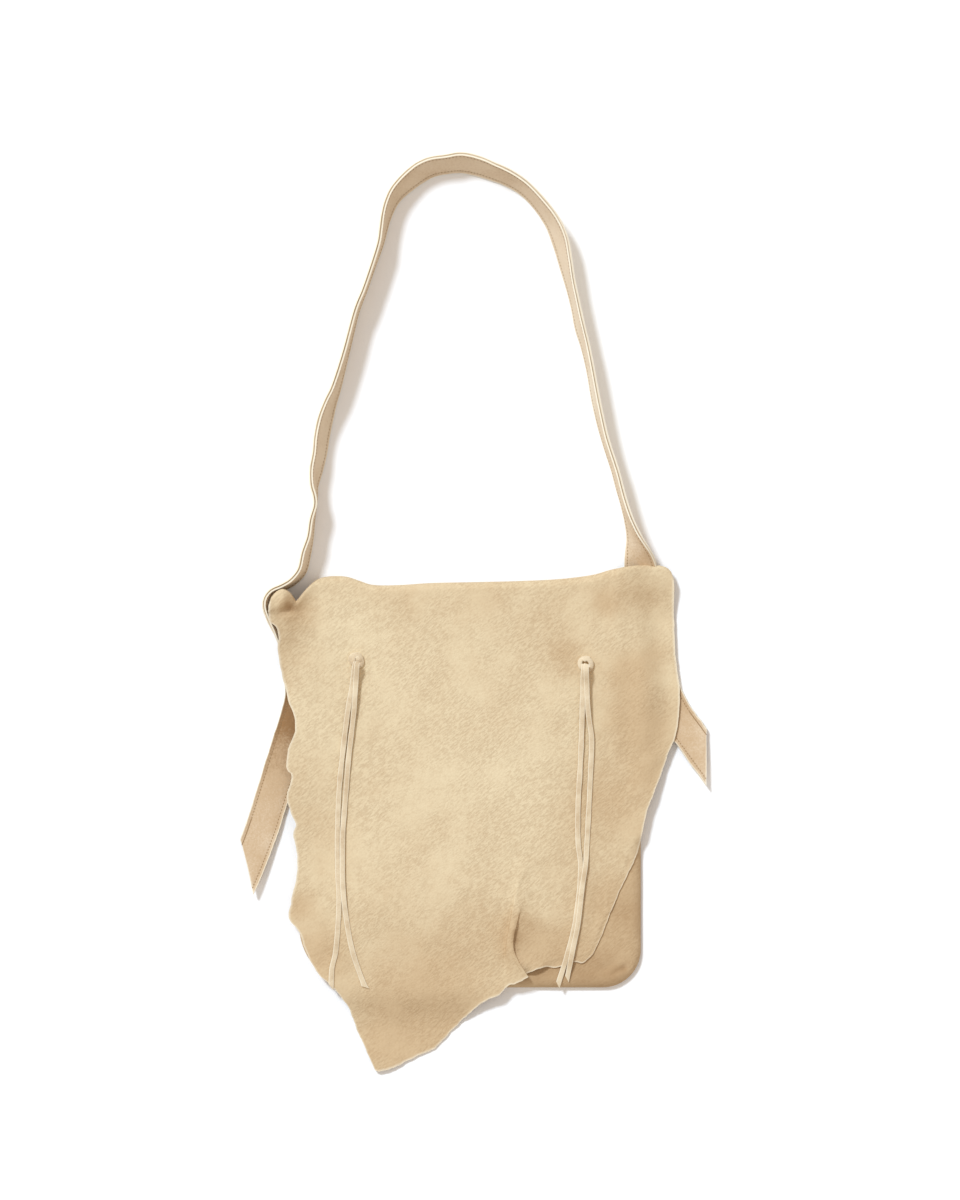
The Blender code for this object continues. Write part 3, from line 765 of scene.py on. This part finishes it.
def flap_plan():
    """Places of the flap's points between its four sides, seen from above."""
    left = ragged(smooth_curve(in_metres(FLAP_LEFT), FLAP_ROWS), 11, RAGGED["left"])
    right = ragged(smooth_curve(in_metres(FLAP_RIGHT), FLAP_ROWS), 21, RAGGED["right"])
    bottom = ragged(smooth_curve(in_metres(FLAP_BOTTOM), COLUMNS), 31, RAGGED["bottom"])
    top = np.linspace(left[0], right[0], COLUMNS + 1)
    u = np.linspace(0, 1, COLUMNS + 1)[None, :, None]
    v = np.linspace(0, 1, FLAP_ROWS + 1)[:, None, None]
    sides = (1 - u) * left[:, None] + u * right[:, None]
    ends = (1 - v) * top[None] + v * bottom[None]
    corners = ((1 - u) * ((1 - v) * left[0] + v * left[-1])
               + u * ((1 - v) * right[0] + v * right[-1]))
    return sides + ends - corners


def soften(values, passes):
    """Even out heights over their neighbours, with the sides kept."""
    for _ in range(passes):
        wide = np.pad(values, 1, mode="edge")
        values = (wide[1:-1, 1:-1] * 4 + wide[:-2, 1:-1] + wide[2:, 1:-1]
                  + wide[1:-1, :-2] + wide[1:-1, 2:]) / 8
    return values


def turn_pleat(grid):
    """Lay the left part of the flap's lower edge over the right part, with a fold between."""
    top = smooth_curve(in_metres(PLEAT_TOP), PLEAT_SAMPLES)[::-1]
    under = smooth_curve(in_metres(PLEAT_UNDER), PLEAT_SAMPLES)[::-1]
    column = int(np.argmin(np.abs(grid[-1, :, 0] - PLEAT_TOP[-1][0] * MM)))
    for row in grid:
        place = row[column, 1]
        grow = float(fade((place - PLEAT_DEEP) / (PLEAT_START - PLEAT_DEEP)))
        shift = float(fade((place - PLEAT_START) / (PLEAT_BEND - PLEAT_START)))
        if shift <= 0:
            continue
        upper = np.interp(place, top[:, 1], top[:, 0]) - row[column, 0]
        apart = (row[column + 2, 0] - row[column, 0]) * (1 - grow)
        lower = np.interp(place, under[:, 1], under[:, 0]) + apart - row[column + 2, 0]
        away = np.abs(row[:, 0] - row[column, 0]) / PLEAT_REACH
        spread = fade(away) * shift
        left = np.arange(len(row)) <= column
        row[:, 0] += np.where(left, upper, lower) * spread
        lift = PLEAT_LIFT * grow * fade(away * 1.4)
        row[:, 2] += np.where(left, lift, -0.2 * lift)
        row[column, 2] -= 0.25 * PLEAT_LIFT * grow
        row[column + 1] = (row[column] + row[column + 2]) / 2
    return grid


def hide_grid(front_piece):
    """The whole hide from the back's bottom over the fold to the flap's natural edge."""
    under = Surface(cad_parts["flap"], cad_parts["back_panel"])
    plan = flap_plan()
    columns = plan[0, :, 0]
    fold = smooth_curve(in_metres(FOLD_LINE), FOLD_SAMPLES)
    top_y = np.interp(columns, fold[:, 0], fold[:, 1])
    full = (columns >= BACK_LEFT) & (columns <= BACK_RIGHT)
    radius = np.where(full, FOLD_RADIUS, LIP_RADIUS)
    radius = np.minimum(radius, (top_y - HINGE_Y) * FOLD_SHARE)
    centre_y = top_y - radius
    band = [centre_y + (HINGE_Y - centre_y) * step / BAND_STEPS for step in range(BAND_STEPS)]
    band_plan = np.dstack([np.tile(columns, (BAND_STEPS, 1)), np.array(band)])
    front = np.concatenate([band_plan, plan])
    x, y = front[..., 0], front[..., 1]
    cut = np.abs(y - HINGE_Y) < CUT_REACH
    z = soften(under.height(x, np.where(cut, HINGE_Y + CUT_REACH, y)), SMOOTHING) + relief(x, y)
    z = np.maximum(z, Surface(front_piece).below(x, y) + HIDE + CLEAR)
    front = turn_pleat(np.dstack([x, y, z]))
    high = front[0, :, 2]
    drop = np.where(full, high / 2, LIP_RADIUS)
    fold_rows = []
    for step in range(FOLD_STEPS):
        share = step / FOLD_STEPS
        turn = np.where(full, math.pi * (share - 0.5), LIP_END + (math.pi / 2 - LIP_END) * share)
        fold_rows.append(np.column_stack([columns, centre_y + radius * np.cos(turn),
                                          high - drop + drop * np.sin(turn)]))
    share = (columns - BACK_LEFT) / (BACK_RIGHT - BACK_LEFT) * 2 - 1
    count = round((MOUTH_Y - POUCH_BOTTOM) / BACK_STEP)
    fine = POUCH_BOTTOM + np.array(BACK_RIM) * MM
    rows = np.concatenate([fine, np.linspace(POUCH_BOTTOM + BACK_STEP, MOUTH_Y, count)])
    base = Surface(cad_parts["back_panel"])
    back_rows = []
    for row_y in rows:
        row_x = across_pouch(share, row_y)
        level = np.zeros(len(row_x))
        for place in np.nonzero(full)[0]:
            hit = base.tree.ray_cast(Vector((row_x[place] * 0.999, row_y, -0.01)), UP)[0]
            level[place] = hit.z if hit else 0
        back_rows.append(np.column_stack([row_x, np.full(len(row_x), row_y), level]))
    grid = np.concatenate([np.array(back_rows), np.array(fold_rows), front])
    keep = np.ones((len(grid) - 1, len(columns) - 1), bool)
    inner = full[:-1] & full[1:]
    keep[:len(rows)] = inner[None]
    back = np.zeros(keep.shape, bool)
    back[:len(rows) + FOLD_SPLIT] = inner[None]
    return grid, back, keep & ~back, len(rows)


def make_hide(material, front):
    """The one hide in two pieces: the bag's back, and the top fold with the flap."""
    grid, back_cells, flap_cells, fold_row = hide_grid(front)
    edge = np.zeros(grid.shape[:2])
    edge[-1] = 1
    edge[fold_row:, 0] = 1
    edge[fold_row:, -1] = 1
    edge[0] = 1
    shade = stains_and_painted_light(grid[..., 0], grid[..., 1], PATCHES)
    shade[:fold_row] = BACK_SHADE
    masks = {"edge": edge, "shade": shade}
    back = sheet_piece("back_hide", grid, masks, material, HIDE, back_cells)
    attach(back, "bag")
    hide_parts("back_panel")
    flap = sheet_piece("flap_hide", grid, masks, material, HIDE, flap_cells)
    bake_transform(flap)
    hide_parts("flap")
    round(flat_area(grid, back_cells), 4)
    round(flat_area(grid, flap_cells), 4)
    return flap


def make_front(material):
    """The front of the pouch, rolled over at its sides and bottom and puckered at its corners."""
    skin = Surface(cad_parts["front_panel"])
    inner = [step * MM for step in FRONT_RIM] + [ROLL_RADIUS]
    count = round((POUCH_WIDTH - 2 * ROLL_RADIUS) / FRONT_STEP)
    middle = np.linspace(ROLL_RADIUS, POUCH_WIDTH - ROLL_RADIUS, count + 1)[1:-1]
    places = np.array(inner + list(middle) + [POUCH_WIDTH - step for step in reversed(inner)])
    share = places / POUCH_WIDTH * 2 - 1
    length = MOUTH_Y - POUCH_BOTTOM
    count = round((length - ROLL_RADIUS) / FRONT_STEP)
    rows = POUCH_BOTTOM + np.array(inner + list(np.linspace(ROLL_RADIUS, length, count + 1)[1:]))
    y = np.tile(rows[::-1, None], (1, len(share)))
    x = across_pouch(share[None], y)
    rim = inside(x, y)
    near = 0.5 * MM
    way_x = inside(x + near, y) - inside(x - near, y)
    way_y = inside(x, y + near) - inside(x, y - near)
    size = np.maximum(np.hypot(way_x, way_y), near / 5)
    inwards = np.maximum(ROLL_RADIUS + near - rim, 0)
    z = skin.height(x + way_x / size * inwards, y + way_y / size * inwards)
    z = soften(z, FRONT_SMOOTHING)
    roll = np.sqrt(1 - (1 - np.clip(rim / ROLL_RADIUS, 0, 1)) ** 2)
    z -= ROLL_HEIGHT * (1 - roll)
    run = np.arctan2(y, x) * POUCH_WIDTH / 2
    pucker = np.sin(run / PUCKER_PITCH + 2 * ripple(x, y, 60 * MM, 4))
    z += PUCKER_HEIGHT * pucker * np.exp(-((rim - PUCKER_PLACE) / PUCKER_REACH) ** 2)
    z += FRONT_LIE * ripple(x, y, 40 * MM, 14) * fade(1 - rim / (20 * MM))
    pit = np.hypot(x - PIT[0], y - PIT[1])
    z -= PIT_DEPTH * np.exp(-(pit / PIT_REACH) ** 2)
    for points, depth, width in FRONT_CREASES:
        away, along = along_line(x, y, points)
        z -= depth * MM * np.exp(-(away / (width * MM)) ** 2) * np.sin(math.pi * along)
    grid = np.dstack([x, y, z])
    edge = np.zeros(x.shape)
    edge[0] = 1
    shade = stains_and_painted_light(x, y, FRONT_PATCHES) + FRONT_SHADE
    front = sheet_piece("front_hide", grid, {"edge": edge, "shade": shade}, material, HIDE)
    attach(front, "bag")
    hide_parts("front_panel")
    round(flat_area(grid), 4)
    return front


def make_strap_layer(name, path, depth, seed, material):
    """One layer of the strap with wavy raw edges and a row of needle holes at each side."""
    count = round(path.length / STRAP_STEP)
    station = np.linspace(0, path.length, count + 1)[:, None]
    half = STRAP_WIDTH / 2
    inset = np.array([0, 0.9 * MM, 2.2 * MM, STITCH_INSET, 4.8 * MM, 9 * MM]) / half
    side = np.concatenate([-1 + inset, [0], (1 - inset)[::-1]])[None]
    station = np.broadcast_to(station, (count + 1, side.shape[1]))
    side = np.broadcast_to(side, station.shape)
    wave = sum(height * ripple(station, side * 0, length, seed + k)
               for k, (height, length) in enumerate(STRAP_WAVES))
    wide = side * (1 + wave * np.abs(side) ** 6 / half)
    sewn = np.exp(-((np.abs(side) * half - (half - STITCH_INSET)) / STITCH_SPREAD) ** 2)
    sign = math.copysign(1, depth)
    puff = depth + sign * (STRAP_LAYER / 2 - STITCH_DEPTH * sewn
                           + EDGE_SPLAY * np.abs(side) ** 14)
    grid = path.at(path.place(station, side), wide, puff)
    grid = grid if sign > 0 else grid[:, ::-1]
    edge = (np.abs(side) > 0.99).astype(float)
    edge[0] = 1
    edge[-1] = 1
    holes = sewn * (0.14 if sign > 0 else 0.06)
    tail = np.minimum(station, path.length - station)
    shade = TAIL_SHADE * fade((tail - TAIL_SHADE_START) / (TAIL_SHADE_END - TAIL_SHADE_START))
    # Painted shade where the tails run under the flap, and painted light on the arch's right side
    for run, painted_light in ((tail, (TUCKED_PAINTED_SHADE,)), (station, LEFT_PAINTED_SHADE),
                      (path.length - station, RIGHT_PAINTED_SHADE_AND_LIGHT)):
        for place, reach, amount in painted_light:
            shade = shade + amount * fade(np.abs(run - place) / reach)
    # Painted light: the outer layer's face made paler over the arch
    if sign < 0:
        arch = 1 - fade((tail - ARCH_START) / ARCH_GROWTH)
        shade = shade - ARCH_PAINTED_LIGHT * arch
    layer = sheet_piece(name, grid, {"edge": edge, "holes": holes, "shade": shade}, material,
                        STRAP_LAYER)
    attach(layer, "bag")
    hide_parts(f"{name}_layer")


def stitch_shape():
    """One stitch: a short bent thread with its ends in the hide."""
    rings = []
    for t in np.linspace(-1, 1, STITCH_RINGS):
        rise = 0.55 * (1 - t ** 4) - 0.35
        thick = 1 - 0.35 * abs(t) ** 3
        for turn in np.linspace(0, 2 * math.pi, STITCH_SIDES, endpoint=False):
            rings.append((t * STITCH_LENGTH / 2, math.cos(turn) * STITCH_RADIUS * thick,
                          (rise + math.sin(turn) * thick) * STITCH_RADIUS))
    count = len(rings)
    faces = []
    for start in range(0, count - STITCH_SIDES, STITCH_SIDES):
        for k in range(STITCH_SIDES):
            a, b = start + k, start + (k + 1) % STITCH_SIDES
            faces.append((a, a + STITCH_SIDES, b + STITCH_SIDES, b))
    faces += [tuple(range(STITCH_SIDES)), tuple(range(count - 1, count - 1 - STITCH_SIDES, -1))]
    return np.array(rings), faces


def make_stitches(path, material):
    """Rows of stitches near both edges on both faces of the strap."""
    shape, faces = stitch_shape()
    points = []
    polygons = []
    half = STRAP_WIDTH / 2
    count = round(path.length / STITCH_PITCH)
    dice = np.random.default_rng(7)
    for face in (1, -1):
        for edge in (1, -1):
            for station in (np.arange(count) + 0.5) * path.length / count:
                side = np.array([edge * (half - STITCH_INSET) / half])
                side = side + dice.uniform(-0.006, 0.006)
                level = face * (path.thickness / 2 - STITCH_SINK)
                place = path.place(np.array([station]), side)
                here = path.at(place, side, np.array([level]))[0]
                ahead = path.at(place + MM, side, np.array([level]))[0]
                up = path.read(path.normal, place)[0] * face
                way = (ahead - here) / np.linalg.norm(ahead - here)
                up -= way * (up @ way)
                up /= np.linalg.norm(up)
                beside = np.cross(up, way)
                start = len(points) * len(shape)
                points.append(here + shape @ np.array([way, beside, up]))
                polygons += [tuple(start + i for i in face_points) for face_points in faces]
    data = bpy.data.meshes.new("strap_stitches")
    data.from_pydata(np.concatenate(points).tolist(), [], polygons)
    data.shade_smooth()
    stitches = add_piece("strap_stitches", data, material)
    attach(stitches, "bag")


def sweep(name, line, up, width, thickness, material, cut=0.0):
    """A flat lace along a line: a rounded section, with its far end cut on the slant."""
    line = np.asarray(line)
    way = np.gradient(line, axis=0)
    way /= np.linalg.norm(way, axis=1)[:, None]
    up = up - way * np.sum(up * way, axis=1)[:, None]
    up /= np.linalg.norm(up, axis=1)[:, None]
    beside = np.cross(way, up)
    turns = np.linspace(0, 2 * math.pi, LACE_SIDES, endpoint=False)
    across = np.sign(np.cos(turns)) * np.abs(np.cos(turns)) ** 0.45
    rise = np.sign(np.sin(turns)) * np.abs(np.sin(turns)) ** 0.75
    width = np.broadcast_to(width, (len(line),))
    points = []
    for k, here in enumerate(line):
        slant = np.zeros(len(turns))
        if cut:
            slant = -cut * (1 + across) / 2 * max(0, 1 - (len(line) - 1 - k) / LACE_CUT_RINGS)
        points.append(here + np.outer(across, beside[k] * width[k] / 2)
                      + np.outer(rise, up[k] * thickness / 2) + np.outer(slant, way[k]))
    count = len(turns)
    faces = []
    for ring in range(len(line) - 1):
        for k in range(count):
            a, b = ring * count + k, ring * count + (k + 1) % count
            faces.append((a, b, b + count, a + count))
    last = (len(line) - 1) * count
    faces += [tuple(range(count - 1, -1, -1)), tuple(range(last, last + count))]
    data = bpy.data.meshes.new(name)
    data.from_pydata(np.concatenate(points).tolist(), [], faces)
    piece = add_piece(name, data, material)
    edge = np.tile((np.abs(across) > 0.85).astype(float), len(line))
    paint(piece, "edge", edge)
    shell = bmesh.new()
    shell.from_mesh(data)
    bmesh.ops.recalc_face_normals(shell, faces=shell.faces)
    shell.to_mesh(data)
    shell.free()
    keep_only(piece)
    bpy.ops.object.shade_smooth_by_angle(angle=math.radians(SOFT_BEND))
    return piece


def make_tie(side, skin, material):
    """A knotted ring of lace on the flap and the two strands that leave it."""
    x, y = (value * MM for value in KNOTS[side])
    seat = skin.one(x, y) + KNOT_CORD * 0.9
    turns = np.linspace(math.radians(KNOT_FIRST), math.radians(KNOT_FIRST + KNOT_TURN[side]),
                        KNOT_SAMPLES)
    share = np.linspace(0, 1, len(turns))
    radius = KNOT_RING[side] * (1 + KNOT_LUMPS[side] * np.sin(2.5 * turns + 1)
                                - KNOT_CLOSE[side] * share ** 2)
    ring = np.column_stack([
        x + radius * np.cos(turns),
        y + radius * np.sin(turns),
        seat + (share - 0.5) * KNOT_RISE + KNOT_SWAY * np.sin(2 * turns)])
    outward = np.column_stack([np.cos(turns) * 0.35, np.sin(turns) * 0.35, np.ones(len(turns))])
    knot = sweep(f"lace_{side}_ring", ring, outward, LACE_WIDTH * 0.9, KNOT_CORD * 1.5, material)
    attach(knot, "flap")
    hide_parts(f"lace_{side}_knot")
    for letter, route in zip("ab", STRANDS[side]):
        line = smooth_curve(in_metres(route), LACE_STEP)
        away = np.hypot(line[:, 0] - x, line[:, 1] - y)
        base = np.array([skin.one(*place) for place in line]) + LACE_REST + LACE_THICKNESS / 2
        for k in range(1, len(base)):
            base[k] = max(base[k], base[k - 1] - LACE_FALL * LACE_STEP)
        hump = HUMP_HEIGHT * np.exp(-((away - HUMP_PLACE) / HUMP_REACH) ** 2)
        base = base + hump + LACE_STAND * np.exp(-(away / LACE_STAND_REACH) ** 2)
        if letter == "b":
            first = smooth_curve(in_metres(STRANDS[side][0]), LACE_STEP)[::-1]
            beside = np.abs(line[:, 0] - np.interp(line[:, 1], first[:, 1], first[:, 0]))
            over = fade((beside - LACE_OVER_START) / LACE_OVER_REACH)
            base = base + (LACE_THICKNESS + LACE_OVER) * over
        for _ in range(3):
            base[1:-1] = (base[:-2] + base[1:-1] * 2 + base[2:]) / 4
        points = np.column_stack([line, base])
        run = np.arange(len(line)) * LACE_STEP
        tilt = LACE_TILT * ripple(run, run * 0, 90 * MM, 40 + ord(letter) + len(side))
        up = np.column_stack([np.sin(tilt), np.zeros(len(run)), np.cos(tilt)])
        width = LACE_WIDTH * (1 + 0.06 * ripple(run, run * 0, 25 * MM, 50 + ord(letter)))
        name = f"lace_{side}_cord_{letter}"
        strand = sweep(name, points, up, width, LACE_THICKNESS, material, LACE_CUT)
        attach(strand, "flap")
        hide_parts(f"lace_{side}_strand_{letter}")


def make_camera():
    """A long lens straight above, framing the bag as the photograph does."""
    lens = bpy.data.cameras.new("camera")
    lens.sensor_width = SENSOR
    lens.lens = SENSOR * CAMERA_DISTANCE / PICTURE_HEIGHT
    camera = bpy.data.objects.new("camera", lens)
    camera.location = Vector(CAMERA_AIM) + CAMERA_DISTANCE * UP
    bpy.context.scene.collection.objects.link(camera)
    bpy.context.scene.camera = camera


def make_stage():
    """A white floor, a soft sun from the upper left and an even white surround."""
    bpy.ops.mesh.primitive_plane_add(size=FLOOR_SIZE, location=(0, 0, -FLOOR_DEPTH))
    floor = bpy.context.object
    floor.name = "floor"
    finish = Finish("white_floor", 1.0)
    seen = finish.node("ShaderNodeLightPath", output="Is Camera Ray")
    finish.colour(finish.mix(seen, (*[FLOOR_GREY] * 3, 1.0), WHITE))
    floor.data.materials.append(finish.material)
    sun = bpy.data.lights.new("sun", "SUN")
    sun.energy = SUN_ENERGY
    sun.color = SUN_COLOUR
    sun.angle = math.radians(SUN_ANGLE)
    lamp = bpy.data.objects.new("sun", sun)
    lamp.rotation_euler = Vector(SUN_TRAVEL).to_track_quat("-Z", "Y").to_euler()
    bpy.context.scene.collection.objects.link(lamp)
    world = bpy.data.worlds.new("surround")
    world.use_nodes = True
    tree = world.node_tree
    path = tree.nodes.new("ShaderNodeLightPath")
    sky = tree.nodes["Background"]
    add = tree.nodes.new("ShaderNodeMath")
    add.operation = "MULTIPLY_ADD"
    add.inputs[1].default_value = 1.0 - SKY_STRENGTH
    add.inputs[2].default_value = SKY_STRENGTH
    tree.links.new(path.outputs["Is Camera Ray"], add.inputs[0])
    tint = tree.nodes.new("ShaderNodeMix")
    tint.data_type = "RGBA"
    tint.inputs[6].default_value = SKY_TINT
    tint.inputs[7].default_value = WHITE
    tree.links.new(path.outputs["Is Camera Ray"], tint.inputs[0])
    tree.links.new(tint.outputs[2], sky.inputs["Color"])
    tree.links.new(add.outputs[0], sky.inputs["Strength"])
    bpy.context.scene.world = world
    bpy.context.scene.view_settings.view_transform = "Standard"


make_camera()
make_stage()
deerskin = hide_finish()
suede = strap_finish()
lace = lace_finish()
thread = thread_finish()
front = make_front(deerskin)
flap = make_hide(deerskin, front)
strap = StrapPath()
offset = (STRAP_LAYER + STRAP_GAP) / 2
make_strap_layer("strap_inner", strap, offset, 60, suede)
make_strap_layer("strap_outer", strap, -offset, 70, suede)
make_stitches(strap, thread)
for side in KNOTS:
    make_tie(side, Surface(flap, front), lace)
